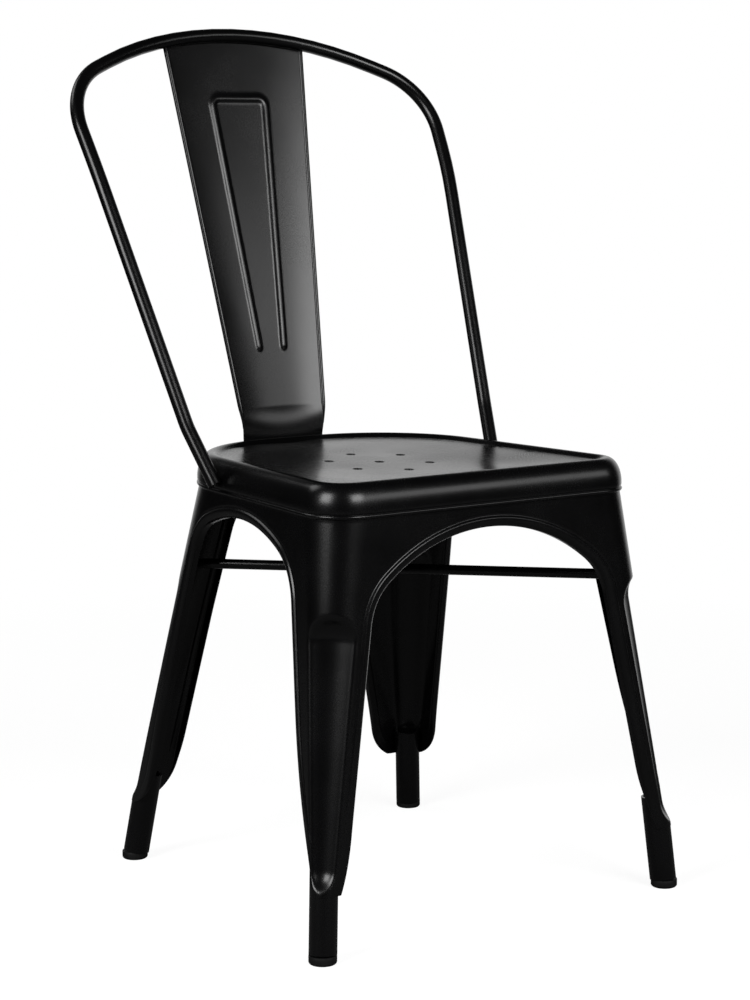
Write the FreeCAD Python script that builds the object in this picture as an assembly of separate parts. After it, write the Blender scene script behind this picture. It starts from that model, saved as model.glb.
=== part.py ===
import FreeCAD, Part
import math
import os

# Metal bistro chair of pressed sheet steel, in millimetres.
# +Z is up, the chair faces -Y, and its right-hand side is -X.
# The origin is on the floor, under the middle of the overall box.

V = FreeCAD.Vector
Z_UP = V(0, 0, 1)

# Overall depth, from the front feet to the top of the back
DEPTH = 490.0

# Sheet and tube
SHEET = 1.5
FOOT_TUBE_R = 13.0
FOOT_TUBE_WALL = 2.0
FOOT_TUBE_LENGTH = 92.0
FOOT_TREAD = 8.0
TREAD_R = 13.0
TREAD_CHAMFER = 2.5
STEM_LENGTH = 26.0
HOOP_R = 7.0
ROD_R = 5.0

# Seat pan
SEAM_Z = 395.0
RIM_Z = 427.0
DISH_Z = 417.5
SEAT_FRONT_Y = -213.0
SEAT_HALF_WIDTH = 180.3
SEAT_CORNER_R = 40.0
SEAT_REAR_R = 132.0
SEAT_REAR_CENTRE = (30.0, 10.0)
RIM_ROLL_R = 11.0
DISH_INSET = 38.0
HOLE_R = 4.2
HOLE_RING_R = 50.0
HOLE_CENTRE_Y = -32.0

# Legs: centre of the foot tube on the floor and where it meets the stamping
FOOT_TOP_Z = 63.0
FRONT_FOOT = (203.0, -DEPTH / 2 + TREAD_R)
FRONT_TUBE_TOP = (198.0, -226.5)
BACK_FOOT = (173.0, 160.0)
BACK_TUBE_TOP = (165.5, 151.0)
LEG_CORNER_R = 13.5
LEG_TUCK = 17.0
LEG_MEET_Y = -36.0
FLARE_TOP_Z = SEAM_Z - 2

# Flute pressed into each leg corner: upper and lower end
FLUTE_ENDS_Z = (284.0, 84.0)
FLUTE_RADII = (50.0, 20.0)
FRONT_FLUTE_DEPTHS = (13.5, 8.5)
BACK_FLUTE_DEPTHS = (7.5, 7.5)
FRONT_CORNER_ANGLES = (225.0, 227.0)
BACK_CORNER_ANGLES = (133.0, 141.0)

# Arches between the legs
ARCH_TOP_Z = 375.0
ARCH_REF_Z = 67.0
ARCH_BEAD = 10.0
BEAD_PROUD = 1.6
FLANGE_DEPTH = 9.0
ARCH_TOE_END_Z = 62.0

# Back panel
SPLAT_TOP_Z = 841.0
SPLAT_TOP_Y = 244.0
SPLAT_TOP_HALF = 83.5
SPLAT_TOP_ARC_R = 383.0
SPLAT_BEND_Z = 458.0
SPLAT_BEND_Y = 151.0
SPLAT_BEND_HALF = 51.0
SPLAT_SEAT_Z = 428.0
SPLAT_FOOT_Z = 402.0
SPLAT_FOOT_HALF = 47.0
SPLAT_FOOT_GAP = 0.5
SPLAT_BOW = 6.4
SPLAT_ROLL_R = 2.5
SPLAT_ROLL_END_Z = 437.0
RIDGE_R = 4.0
RIDGE_SINK = 2.2
RIDGE_CORNER_R = 8.0
RIDGE_TOP_HALF = 33.0
RIDGE_TOP_Z = 776.0
RIDGE_LOW_HALF = 15.0
RIDGE_LOW_Z = 519.0

# Back hoop: half of the tube's line, from its end on the skirt to the crown
HOOP_END = (168.5, 2.0, 404.0)
HOOP_KNEE = (180.5, 33.5, 458.0)
HOOP_WAIST = (213.5, 143.0, 700.0)
HOOP_SHOULDER = (221.5, 193.5, 786.5)
HOOP_CROWN = (0.0, 267.2, 876.1)
HOOP_BEND_RADII = (90.0, 500.0, 78.0, 350.0, 78.0, 500.0, 90.0)

# Brace rods: height and the two leg corners each one runs between
ROD_A_Z = 322.0
ROD_B_Z = ROD_A_Z - 2 * ROD_R
ROD_FRONT_CORNER = (182.0, -216.0)
ROD_BACK_CORNER = (152.0, 112.0)


def polar(centre, radius, degrees, z=0.0):
    a = math.radians(degrees)
    return V(centre[0] + radius * math.cos(a), centre[1] + radius * math.sin(a), z)


def arc(centre, radius, start, end, z):
    """Arc in a level plane, from one angle to another."""
    middle = (start + end) / 2
    points = [polar(centre, radius, a, z) for a in (start, middle, end)]
    return Part.Arc(*points).toShape()


def line(a, b):
    return Part.makeLine(a, b)


def tangent_angle(front, front_r, rear, rear_r):
    """Angle of the outward normal of the side line that touches both corner arcs."""
    dx = front[0] - rear[0]
    dy = front[1] - rear[1]
    length = math.hypot(dx, dy)
    return math.degrees(math.atan2(dy, dx) + math.acos((rear_r - front_r) / length))


def ring_wire(front, front_r, rear, rear_r, z):
    """Closed outline of four sides and four corners, symmetric about X = 0."""
    side = tangent_angle(front, front_r, rear, rear_r)
    left_front = (-front[0], front[1])
    left_rear = (-rear[0], rear[1])
    corners = [
        arc(front, front_r, -90, side, z),
        arc(rear, rear_r, side, 90, z),
        arc(left_rear, rear_r, 90, 180 - side, z),
        arc(left_front, front_r, 180 - side, 270, z),
    ]
    edges = []
    for here, following in zip(corners, corners[1:] + corners[:1]):
        edges.append(here)
        edges.append(line(here.Vertexes[-1].Point, following.Vertexes[0].Point))
    return Part.Wire(edges)


def seat_outline(inset, z):
    front = (SEAT_HALF_WIDTH - SEAT_CORNER_R, SEAT_FRONT_Y + SEAT_CORNER_R)
    return ring_wire(front, SEAT_CORNER_R - inset, SEAT_REAR_CENTRE, SEAT_REAR_R - inset, z)


def foot_outline(inset, z):
    """Outline of the leg stampings at the height where the foot tubes start."""
    radius = LEG_CORNER_R - inset
    front = FRONT_TUBE_TOP
    rear = BACK_TUBE_TOP
    if radius < 1:
        shift = 1 - radius
        radius = 1
        front = (front[0] - shift, front[1] + shift)
        rear = (rear[0] - shift, rear[1] - shift)
    return ring_wire(front, radius, rear, radius, z)


def solid_between(bottom, top):
    return Part.makeLoft([bottom, top], True, True)


def block(x0, x1, y0, y1, z0, z1):
    return Part.makeBox(x1 - x0, y1 - y0, z1 - z0, V(x0, y0, z0))


def leg_body(inset):
    """The four legs before they are parted: a flaring ring form, filled."""
    tuck = SHEET + inset
    band = Part.Face(seat_outline(tuck, FLARE_TOP_Z)).extrude(V(0, 0, SEAM_Z + LEG_TUCK - FLARE_TOP_Z))
    flare = solid_between(foot_outline(inset, FOOT_TOP_Z), seat_outline(tuck, FLARE_TOP_Z))
    return band.fuse(flare)


class HalfArch:
    """Half an arch in its own plane: a flat crown, a shoulder arc, a straight leg edge, and a toe
    arc that runs out to the foot tube."""

    def __init__(self, half_width, slope, crown_r, shoulder_r, toe_z, toe_r):
        n = math.hypot(1, slope)
        self.down = (slope / n, -1 / n)
        self.inward = (-1 / n, -slope / n)
        self.crown_r = crown_r
        self.shoulder_r = shoulder_r
        self.toe_r = toe_r
        self.crown = (0.0, ARCH_TOP_Z - crown_r)
        foot = (half_width, ARCH_REF_Z)
        base = [foot[i] + self.inward[i] * shoulder_r for i in (0, 1)]
        rel = (base[0] - self.crown[0], base[1] - self.crown[1])
        reach = crown_r - shoulder_r
        b = rel[0] * self.down[0] + rel[1] * self.down[1]
        c = rel[0] ** 2 + rel[1] ** 2 - reach ** 2
        climb = b + math.sqrt(b * b - c)
        self.shoulder = (base[0] - self.down[0] * climb, base[1] - self.down[1] * climb)
        toe = (half_width - slope * (toe_z - ARCH_REF_Z), toe_z)
        self.toe = (toe[0] - self.inward[0] * toe_r, toe[1] - self.inward[1] * toe_r)
        self.toe_end = math.pi + math.asin((self.toe[1] - ARCH_TOE_END_Z) / toe_r)

    def face(self, grow, place):
        """Closed half opening, grown outward, with place() giving the 3-D points."""
        to_shoulder = math.atan2(self.shoulder[1] - self.crown[1], self.shoulder[0] - self.crown[0])
        outward = math.atan2(-self.inward[1], -self.inward[0])
        toe_start = outward + math.pi

        def on(centre, radius, angle):
            return place(centre[0] + radius * math.cos(angle), centre[1] + radius * math.sin(angle))

        def bend(centre, radius, start, end):
            points = [on(centre, radius, a) for a in (start, (start + end) / 2, end)]
            return Part.Arc(*points).toShape(), points[0], points[-1]

        crown, top, _ = bend(self.crown, self.crown_r + grow, math.pi / 2, to_shoulder)
        shoulder, _, spring = bend(self.shoulder, self.shoulder_r + grow, to_shoulder, outward)
        toe, toe_top, toe_low = bend(self.toe, self.toe_r - grow, toe_start, self.toe_end)
        end_u = self.toe[0] + (self.toe_r - grow) * math.cos(self.toe_end)
        foot = place(end_u, 0)
        low = place(0, 0)
        leg_edge = [crown, shoulder, line(spring, toe_top), toe, line(toe_low, foot)]
        edges = leg_edge + [line(foot, low), line(low, top)]
        return Part.Face(Part.Wire(edges))


FRONT_ARCH = HalfArch(180.0, 0.18, 188.0, 60.0, toe_z=115.0, toe_r=230.0)
SIDE_FRONT_ARCH = HalfArch(169.5, 0.22, 188.0, 60.0, toe_z=215.0, toe_r=570.0)
SIDE_BACK_ARCH = HalfArch(158.0, 0.235, 180.0, 55.0, toe_z=96.0, toe_r=46.0)
REAR_ARCH = HalfArch(130.0, 0.228, 165.0, 50.0, toe_z=92.0, toe_r=45.0)


def arch_prisms(back, grow):
    """The two half openings beside a right-hand leg, as prisms."""
    if back:
        across = REAR_ARCH.face(grow, lambda u, z: V(-u, 60, z)).extrude(V(0, 240, 0))
        side = SIDE_BACK_ARCH.face(grow, lambda u, z: V(-300, LEG_MEET_Y + u, z))
    else:
        across = FRONT_ARCH.face(grow, lambda u, z: V(-u, -300, z)).extrude(V(0, 220, 0))
        side = SIDE_FRONT_ARCH.face(grow, lambda u, z: V(-300, LEG_MEET_Y - u, z))
    return across, side.extrude(V(220, 0, 0))


def corner_point(back, z):
    """Outermost point of a right-hand leg's corner at a height, and its outward direction."""
    share = (z - FOOT_TOP_Z) / (FLARE_TOP_Z - FOOT_TOP_Z)
    if back:
        low_centre = V(-BACK_TUBE_TOP[0], BACK_TUBE_TOP[1], 0)
        high_centre = V(-SEAT_REAR_CENTRE[0], SEAT_REAR_CENTRE[1], 0)
        high_r = SEAT_REAR_R - SHEET
        low_angle, high_angle = BACK_CORNER_ANGLES
    else:
        low_centre = V(-FRONT_TUBE_TOP[0], FRONT_TUBE_TOP[1], 0)
        high_centre = V(SEAT_CORNER_R - SEAT_HALF_WIDTH, SEAT_FRONT_Y + SEAT_CORNER_R, 0)
        high_r = SEAT_CORNER_R - SHEET
        low_angle, high_angle = FRONT_CORNER_ANGLES
    low = polar(low_centre, LEG_CORNER_R, low_angle)
    high = polar(high_centre, high_r, high_angle)
    angle = math.radians(low_angle + share * (high_angle - low_angle))
    point = low + (high - low) * share
    return V(point.x, point.y, z), V(math.cos(angle), math.sin(angle), 0)


def flute(back, extra):
    """Tapered round-ended trough down the corner of a leg."""
    depths = BACK_FLUTE_DEPTHS if back else FRONT_FLUTE_DEPTHS
    ends = []
    for z, radius, depth in zip(FLUTE_ENDS_Z, FLUTE_RADII, depths):
        point, outward = corner_point(back, z)
        ends.append(point + outward * (radius - depth))
    high, low = ends
    axis = low - high
    cone = Part.makeCone(FLUTE_RADII[0] + extra, FLUTE_RADII[1] + extra, axis.Length, high, axis)
    cap_high = Part.makeSphere(FLUTE_RADII[0] + extra, high)
    cap_low = Part.makeSphere(FLUTE_RADII[1] + extra, low)
    return cone.fuse([cap_high, cap_low])


def leg(back, body, lining, proud):
    """Right-hand leg stamping, with its arch flanges, beads, flute and foot tube."""
    if back:
        quarter = block(-320, 0, LEG_MEET_Y, 320, -10, 500)
        foot, top = BACK_FOOT, BACK_TUBE_TOP
    else:
        quarter = block(-320, 0, -320, LEG_MEET_Y, -10, 500)
        foot, top = FRONT_FOOT, FRONT_TUBE_TOP
    open_a, open_b = arch_prisms(back, 0)
    wide_a, wide_b = arch_prisms(back, SHEET)
    bead_a, bead_b = arch_prisms(back, ARCH_BEAD)
    inner = leg_body(SHEET)

    outer = body.common(quarter).cut(flute(back, 0))
    hollow = inner.common(quarter).cut(flute(back, SHEET))
    skin = outer.cut(hollow).cut([open_a, open_b])
    rim_zone = wide_a.cut(open_a).fuse(wide_b.cut(open_b)).cut([open_a, open_b])
    flange = outer.cut(lining).common(rim_zone)
    bead_zone = bead_a.fuse(bead_b).cut([open_a, open_b])
    bead = proud.common(quarter).cut(body).common(bead_zone)
    bead = bead.cut(flute(back, 0))

    foot_at = V(-foot[0], foot[1], 0)
    axis = (V(-top[0], top[1], FOOT_TOP_Z) - foot_at).normalize()
    tube = Part.makeCylinder(FOOT_TUBE_R, FOOT_TUBE_LENGTH, foot_at, axis).cut(flute(back, 0))
    bore = Part.makeCylinder(FOOT_TUBE_R - FOOT_TUBE_WALL, FOOT_TUBE_LENGTH, foot_at, axis)
    bore = bore.cut(flute(back, SHEET))
    trim = block(-320, 0, -320, 320, -10, FOOT_TREAD)
    shell = skin.fuse([flange, bead, tube]).cut([bore, trim])
    return shell.removeSplitter()


def mirrored(shape):
    return shape.mirror(V(0, 0, 0), V(1, 0, 0))


def seat_solid(inset):
    """Seat pan's outer form, or its inner form when inset by the sheet."""
    top = RIM_Z - inset
    base = SEAM_Z if inset == 0 else SEAM_Z - 5
    pan = Part.Face(seat_outline(inset, base)).extrude(V(0, 0, top - base))
    rim_edges = [e for e in pan.Edges if min(v.Z for v in e.Vertexes) > top - 0.01]
    pan = pan.makeFillet(RIM_ROLL_R - inset, rim_edges)
    slope = (RIM_Z - DISH_Z) / (DISH_INSET - RIM_ROLL_R)
    low = seat_outline(DISH_INSET, DISH_Z - inset)
    high = seat_outline(DISH_INSET - (RIM_Z - DISH_Z + 4) / slope, RIM_Z + 4 - inset)
    return pan.cut(solid_between(low, high))


def seat_pan():
    pan = seat_solid(0).cut(seat_solid(SHEET))
    holes = []
    for i in range(7):
        angle = 30 + 60 * i
        ring = 0 if i == 6 else HOLE_RING_R
        centre = polar((0, HOLE_CENTRE_Y), ring, angle, DISH_Z - 10)
        holes.append(Part.makeCylinder(HOLE_R, 20, centre, Z_UP))
    return pan.cut(holes)


def rounded_path(points, radii):
    """Straight runs joined by tangent arcs."""
    edges = []
    last = points[0]
    for i in range(1, len(points) - 1):
        corner = points[i]
        back_dir = (points[i - 1] - corner).normalize()
        next_dir = (points[i + 1] - corner).normalize()
        half = back_dir.getAngle(next_dir) / 2
        reach = radii[i - 1] / math.tan(half)
        start = corner + back_dir * reach
        end = corner + next_dir * reach
        middle_dir = (back_dir + next_dir).normalize()
        middle = corner + middle_dir * (radii[i - 1] / math.sin(half) - radii[i - 1])
        edges.append(line(last, start))
        edges.append(Part.Arc(start, middle, end).toShape())
        last = end
    edges.append(line(last, points[-1]))
    return Part.Wire(edges)


def swept_disc(path, radius):
    start = path.Edges[0]
    at = start.Vertexes[0].Point
    direction = start.tangentAt(start.FirstParameter)
    if (start.Vertexes[1].Point - at).dot(direction) < 0:
        direction = direction * -1
    circle = Part.Wire(Part.makeCircle(radius, at, direction))
    return path.makePipeShell([circle], True, False)


def back_hoop():
    right = [V(-p[0], p[1], p[2]) for p in (HOOP_END, HOOP_KNEE, HOOP_WAIST, HOOP_SHOULDER)]
    left = [V(-p.x, p.y, p.z) for p in reversed(right)]
    points = right + [V(*HOOP_CROWN)] + left
    return swept_disc(rounded_path(points, HOOP_BEND_RADII), HOOP_R)


def splat_section(z, rear_y, half_width, bow, thickness=SHEET):
    """Closed section of the back panel: a shallow arc across the chair, of one thickness."""
    rear = [V(-half_width, rear_y - bow, z), V(0, rear_y, z), V(half_width, rear_y - bow, z)]
    front = [p - V(0, thickness, 0) for p in rear]
    edges = [
        Part.Arc(*rear).toShape(),
        line(rear[2], front[2]),
        Part.Arc(*reversed(front)).toShape(),
        line(front[0], rear[0]),
    ]
    return Part.Wire(edges)


def splat_half_width(z):
    share = (z - SPLAT_BEND_Z) / (SPLAT_TOP_Z - SPLAT_BEND_Z)
    return SPLAT_BEND_HALF + share * (SPLAT_TOP_HALF - SPLAT_BEND_HALF)


def splat_rear_y(z):
    """Rear face on the centre line: straight back rest above the bend."""
    share = (z - SPLAT_BEND_Z) / (SPLAT_TOP_Z - SPLAT_BEND_Z)
    return SPLAT_BEND_Y + share * (SPLAT_TOP_Y - SPLAT_BEND_Y)


def splat_levels():
    """Height, rear face, half width and bow from the top edge down to the foot."""
    skirt_y = SEAT_REAR_CENTRE[1] + SEAT_REAR_R + SHEET + SPLAT_FOOT_GAP
    past_flat = SPLAT_FOOT_HALF - SEAT_REAR_CENTRE[0]
    foot_bow = SEAT_REAR_R - math.sqrt(SEAT_REAR_R ** 2 - past_flat ** 2)
    levels = [(SPLAT_TOP_Z, SPLAT_TOP_Y, SPLAT_TOP_HALF, SPLAT_BOW)]
    steps = 3
    for i in range(steps + 1):
        t = i / steps
        z = SPLAT_BEND_Z + t * (SPLAT_SEAT_Z - SPLAT_BEND_Z)
        y = skirt_y + (SPLAT_BEND_Y - skirt_y) * (1 - t) ** 2
        half = splat_half_width(z)
        levels.append((z, y, half, SPLAT_BOW + t * (foot_bow - SPLAT_BOW)))
    levels.append((SPLAT_FOOT_Z, skirt_y, SPLAT_FOOT_HALF, foot_bow))
    return levels


def raised_u():
    """The U turned upside down that is pressed forward out of the back panel, as a round bar."""
    def on_panel(half, z):
        bow = SPLAT_BOW * (half / splat_half_width(z)) ** 2
        return V(half, splat_rear_y(z) - SHEET - bow + RIDGE_SINK, z)

    corners = [
        on_panel(-RIDGE_LOW_HALF, RIDGE_LOW_Z),
        on_panel(-RIDGE_TOP_HALF, RIDGE_TOP_Z),
        on_panel(RIDGE_TOP_HALF, RIDGE_TOP_Z),
        on_panel(RIDGE_LOW_HALF, RIDGE_LOW_Z),
    ]
    bar = swept_disc(rounded_path(corners, (RIDGE_CORNER_R, RIDGE_CORNER_R)), RIDGE_R)
    ends = [Part.makeSphere(RIDGE_R, corners[0]), Part.makeSphere(RIDGE_R, corners[-1])]
    return bar.fuse(ends)


def ahead_of_panel():
    """Everything in front of the middle of the panel's sheet, to trim the raised U."""
    sections = []
    for z in (SPLAT_BEND_Z, SPLAT_TOP_Z):
        middle_y = splat_rear_y(z) - SHEET / 2
        sections.append(splat_section(z, middle_y, splat_half_width(z), SPLAT_BOW, 20))
    return solid_between(*sections)


def rolled_edge(levels):
    """Round bead down the right-hand edge of the panel, ending just above the seat."""
    points = [V(-half, y - bow - SHEET / 2, z) for z, y, half, bow in levels if z >= SPLAT_ROLL_END_Z]
    pieces = []
    for upper, lower in zip(points, points[1:]):
        pieces.append(Part.makeCylinder(SPLAT_ROLL_R, (lower - upper).Length, upper, lower - upper))
        pieces.append(Part.makeSphere(SPLAT_ROLL_R, lower))
    return pieces


def back_splat(hoop):
    """Tapered back panel with its rolled edges, raised U and curved top edge."""
    levels = splat_levels()
    panel = Part.makeLoft([splat_section(*level) for level in levels], True, True)
    arc_centre = V(0, 50, SPLAT_TOP_Z - SPLAT_TOP_ARC_R)
    under_crown = Part.makeCylinder(SPLAT_TOP_ARC_R, 300, arc_centre, V(0, 1, 0))
    half = panel.fuse(rolled_edge(levels)).common(under_crown).common(block(-200, 0, 0, 400, 300, 900))
    half = half.cut(hoop)
    crest = raised_u().common(ahead_of_panel())
    return half.fuse([mirrored(half), crest]).removeSplitter()


def brace_rod(z, front, back):
    a = V(front[0], front[1], z)
    b = V(back[0], back[1], z)
    return Part.makeCylinder(ROD_R, (b - a).Length, a, b - a)


def foot_plug(foot, top):
    """Rubber foot: a tube-size tread with a stem inside the tube."""
    foot_at = V(-foot[0], foot[1], 0)
    top_at = V(-top[0], top[1], FOOT_TOP_Z)
    axis = (top_at - foot_at).normalize()
    tread = Part.makeCylinder(TREAD_R, FOOT_TREAD, foot_at, Z_UP)
    underside = min(tread.Edges, key=lambda e: e.CenterOfMass.z)
    tread = tread.makeChamfer(TREAD_CHAMFER, [underside])
    stem_at = foot_at + axis * FOOT_TREAD / 2
    stem = Part.makeCylinder(FOOT_TUBE_R - FOOT_TUBE_WALL, STEM_LENGTH, stem_at, axis)
    return tread.fuse(stem).removeSplitter()


def main():
    os.makedirs("parts", exist_ok=True)
    nodes = {}
    nodes["seat_pan"] = seat_pan()
    body = leg_body(0)
    lining = leg_body(FLANGE_DEPTH)
    proud = leg_body(-BEAD_PROUD)
    for name, back in (("front", False), ("back", True)):
        right = leg(back, body, lining, proud)
        nodes[name + "_right_leg"] = right
        nodes[name + "_left_leg"] = mirrored(right)
    seat_block = Part.Face(seat_outline(0, SEAM_Z - 20)).extrude(V(0, 0, RIM_Z - SEAM_Z + 20))
    hoop = back_hoop()
    nodes["back_hoop"] = hoop.cut(seat_block)
    nodes["back_splat"] = back_splat(hoop)
    troughs = [flute(back, SHEET) for back in (False, True)]
    inside = leg_body(SHEET).cut(troughs + [mirrored(t) for t in troughs])
    for name, z, side in (("a", ROD_A_Z, -1), ("b", ROD_B_Z, 1)):
        front = (side * ROD_FRONT_CORNER[0], ROD_FRONT_CORNER[1])
        back = (-side * ROD_BACK_CORNER[0], ROD_BACK_CORNER[1])
        nodes["brace_rod_" + name] = brace_rod(z, front, back).common(inside)
    for name, foot, top in (("front", FRONT_FOOT, FRONT_TUBE_TOP), ("back", BACK_FOOT, BACK_TUBE_TOP)):
        plug = foot_plug(foot, top)
        nodes[name + "_right_foot"] = plug
        nodes[name + "_left_foot"] = mirrored(plug)
    for name, shape in nodes.items():
        box = shape.BoundBox
        state = "valid" if shape.isValid() else "INVALID"
        print(name, state, len(shape.Solids), "solids, volume", round(shape.Volume))
        print("   size", round(box.XLength, 1), round(box.YLength, 1), round(box.ZLength, 1))
        shape.exportStep("parts/" + name + ".step")


main()
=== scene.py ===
import math

import bmesh
import bpy
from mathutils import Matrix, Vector
from mathutils.geometry import delaunay_2d_cdt


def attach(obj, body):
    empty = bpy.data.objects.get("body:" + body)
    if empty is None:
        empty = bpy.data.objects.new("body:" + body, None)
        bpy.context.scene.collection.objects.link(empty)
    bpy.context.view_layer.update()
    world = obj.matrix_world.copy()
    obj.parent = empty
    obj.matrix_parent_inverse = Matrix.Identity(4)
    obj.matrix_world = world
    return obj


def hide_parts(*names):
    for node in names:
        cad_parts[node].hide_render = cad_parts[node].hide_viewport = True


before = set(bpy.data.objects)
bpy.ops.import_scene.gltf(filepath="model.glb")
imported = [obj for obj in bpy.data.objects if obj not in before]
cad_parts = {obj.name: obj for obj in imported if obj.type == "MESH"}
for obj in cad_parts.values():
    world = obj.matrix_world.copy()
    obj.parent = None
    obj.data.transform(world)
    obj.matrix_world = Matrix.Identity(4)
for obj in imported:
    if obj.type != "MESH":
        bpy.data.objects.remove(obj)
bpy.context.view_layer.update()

# Camera fitted to the photograph, in metres
CAMERA_AT = Vector((-1.4163, -2.0515, 0.7346))
CAMERA_AIM = Vector((0.0, -0.07625, 0.425))
CAMERA_CLIP = (0.05, 100.0)
FOCAL_PIXELS = 2520.53
PHOTO_SIZE = (750, 1000)
AXIS_PIXEL = (405.53, 458.84)
SENSOR = 36.0

# Way to the white backdrop, and how far along it a direction has to point to see none or all of the white
BACKDROP_WAY = (0.743, 0.669, 0.0)
BACKDROP_FADE = (0.72, 0.9)
BACKDROP_TOP = (0.25, 0.6)
WORLD_STRENGTH = 0.02

# Floor. Distances from the chair, in metres: where the shadow fades out, and where gloss starts to see white
FLOOR_RADIUS = 12.0
FLOOR_SIDES = 96
SHADOW_FADE = (0.7, 1.6)
GLOSS_CLEAR = (0.4, 0.75)
FLOOR_GLOW = 0.9
FLOOR_SHADOW_TONE = 0.2
FLOOR_LIT_TONE = 0.15
WHITE = (1.0, 1.0, 1.0, 1.0)

LAMP_AIM = Vector((0.0, 0.0, 0.45))
LAMP_REACH = 2.6
# Name, azimuth and elevation in degrees, width and height in metres, and watts
LAMPS = (
    ("softbox_left", -168.0, 25.0, 1.15, 1.2, 52.0),
    ("softbox_front", -84.0, 25.0, 1.3, 0.9, 42.0),
    ("softbox_front_right", -54.0, 20.0, 1.2, 0.6, 7.0),
    ("softbox_behind", 120.0, 40.0, 1.2, 0.9, 8.0),
)

# Finish: darker and lighter tone, and the range of roughness
PAINT_TONES = ((0.0008, 0.0008, 0.0009), (0.0016, 0.0016, 0.0018))
PAINT_ROUGHNESS = (0.23, 0.28)
PAINT_SPECKLE = 0.02
PAINT_SPECULAR = 0.34
PAINT_GRAIN_SHARE = 0.4
RUBBER_TONES = ((0.002, 0.002, 0.002), (0.006, 0.006, 0.006))
RUBBER_ROUGHNESS = (0.5, 0.7)
RUBBER_SPECULAR = 0.28
RUBBER_SCUFF_RANGE = (0.45, 0.75)

# Meshes: joining distances in metres, and the angles in degrees beyond which an edge is shaded sharp
MERGE_DISTANCE = 2e-5
SLIVER_LENGTH = 1e-6
SHARP_ANGLE = 40.0
SHEET_SHARP_ANGLE = 50.0
RUBBER_SHARP_ANGLE = 60.0
ROD_MERGE_DISTANCE = 2e-6
ROD_SHARP_ANGLE = 28.0
ROD_NORMAL_WEIGHT = 80

# Sizes in millimetres: the main ones are the solids' own, and the meshes are scaled to metres
METRES = 0.001
SHEET = 1.5
TUBE_WALL = 2.0

# Seat pan
SEAM_Z = 395.0
RIM_Z = 427.0
DISH_Z = 417.5
SEAT_FRONT_Y = -213.0
SEAT_HALF_WIDTH = 180.3
SEAT_CORNER_R = 40.0
SEAT_REAR_R = 132.0
SEAT_REAR_CENTRE = (30.0, 10.0)
RIM_ROLL_R = 15.0
RIM_ROLL_DROP = 24.0
DISH_EDGE_Z = 423.0
DISH_INSET = 24.0
DISH_STEP_EASE = 1.15
DISH_SLOPE = 0.045
BOWL_WIDTH = 85.0
BOWL_EASE = -0.25
# Inset and height above the seam: the folded hem's soft bead, the groove over it, and the skirt's lip
HEM_PROFILE = (
    (1.3, 0.4), (0.5, 0.0), (0.0, 0.5), (-0.45, 1.3), (-0.55, 2.0), (-0.35, 2.8), (0.2, 3.4),
    (0.9, 3.9), (0.9, 4.3), (0.35, 4.8), (0.05, 5.6), (0.0, 6.6), (0.0, 7.4),
)
SEAT_CORNER_STEPS = 14
SEAT_REAR_STEPS = 30
SEAT_RUN = 12.0
SEAT_FRONT_STEPS = 12
SEAT_BACK_STEPS = 4
RIM_ROLL_STEPS = 12
DISH_STEP_STEPS = 8
# The seat's faces look away from the middle and up by this much
SEAT_OUTWARD_Z = 120.0

# Drain holes: a ring of them and one in its middle
# HOLE_LIP: how much wider than the hole each ring of the lip is, and how much lower than the dish
HOLE_R = 4.2
HOLE_RING_R = 50.0
HOLE_RING_COUNT = 6
HOLE_RING_START = 30.0
HOLE_CENTRE_Y = -32.0
HOLE_LIP = ((1.8, 0.0), (1.1, 0.0), (0.6, 0.12), (0.2, 0.45), (0.0, 1.1), (0.0, 2.4))
HOLE_SIDES = 24

# Dish floor: spacing of its triangles, their height over their side, and clear shares of the spacing
BOWL_GRID = 7.0
BOWL_SMOOTHING = 25
TRIANGLE_RISE = 0.866
EDGE_CLEARANCE = 0.5
HOLE_CLEARANCE = 0.4
HULL_TRIANGLES = 0
SAME_SPOT = 1e-6

# Legs
FLARE_TOP_Z = SEAM_Z - 2
BAND_TOP_Z = 412.0
FOOT_TOP_Z = 63.0
LEG_FOOT_Z = 62.0
LEG_CORNER_R = 13.5
LEG_MEET_Y = -36.0
FRONT_FOOT = (203.0, -232.0)
FRONT_TUBE_TOP = (198.0, -226.5)
BACK_FOOT = (173.0, 160.0)
BACK_TUBE_TOP = (165.5, 151.0)
FLUTE_ENDS_Z = (284.0, 84.0)
FLUTE_RADII = (50.0, 20.0)
FRONT_FLUTE_DEPTHS = (13.5, 8.5)
BACK_FLUTE_DEPTHS = (7.5, 7.5)
FRONT_CORNER_ANGLES = (-45.0, -47.0)
BACK_CORNER_ANGLES = (47.0, 39.0)
FLUTE_CAP_LENGTHS = (35.0, 19.0)
FLUTE_SOFTNESS = 4.5

# Arches
ARCH_TOP_Z = 375.0
ARCH_REF_Z = 67.0
ARCH_BEAD = 10.0
BEAD_PROUD = 1.5
BEAD_FALL = (ARCH_BEAD - 1.8, ARCH_BEAD + 0.6)
BEAD_CREASE = 0.35
BEAD_CREASE_SPAN = (ARCH_BEAD - 0.4, ARCH_BEAD + 0.8, ARCH_BEAD + 2.6)
EDGE_ROLL_IN = 7.6
EDGE_ROLL_DROP = 5.6
FLANGE_DEPTHS = (9.0, 7.0, 5.4)
# Heights over which the bead and the flange fade out towards the toe, and what is left of the flange
BEAD_FADE_Z = (62.0, 240.0)
FLANGE_FADE_Z = (62.0, 125.0)
FLANGE_TOE_SHARE = 0.15
# The edge's profile is squeezed to this share of a row, and slanting rows stretch it by no more than this
PROFILE_SHARE_MOST = 0.85
SLANT_LEAST = 0.5

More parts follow.
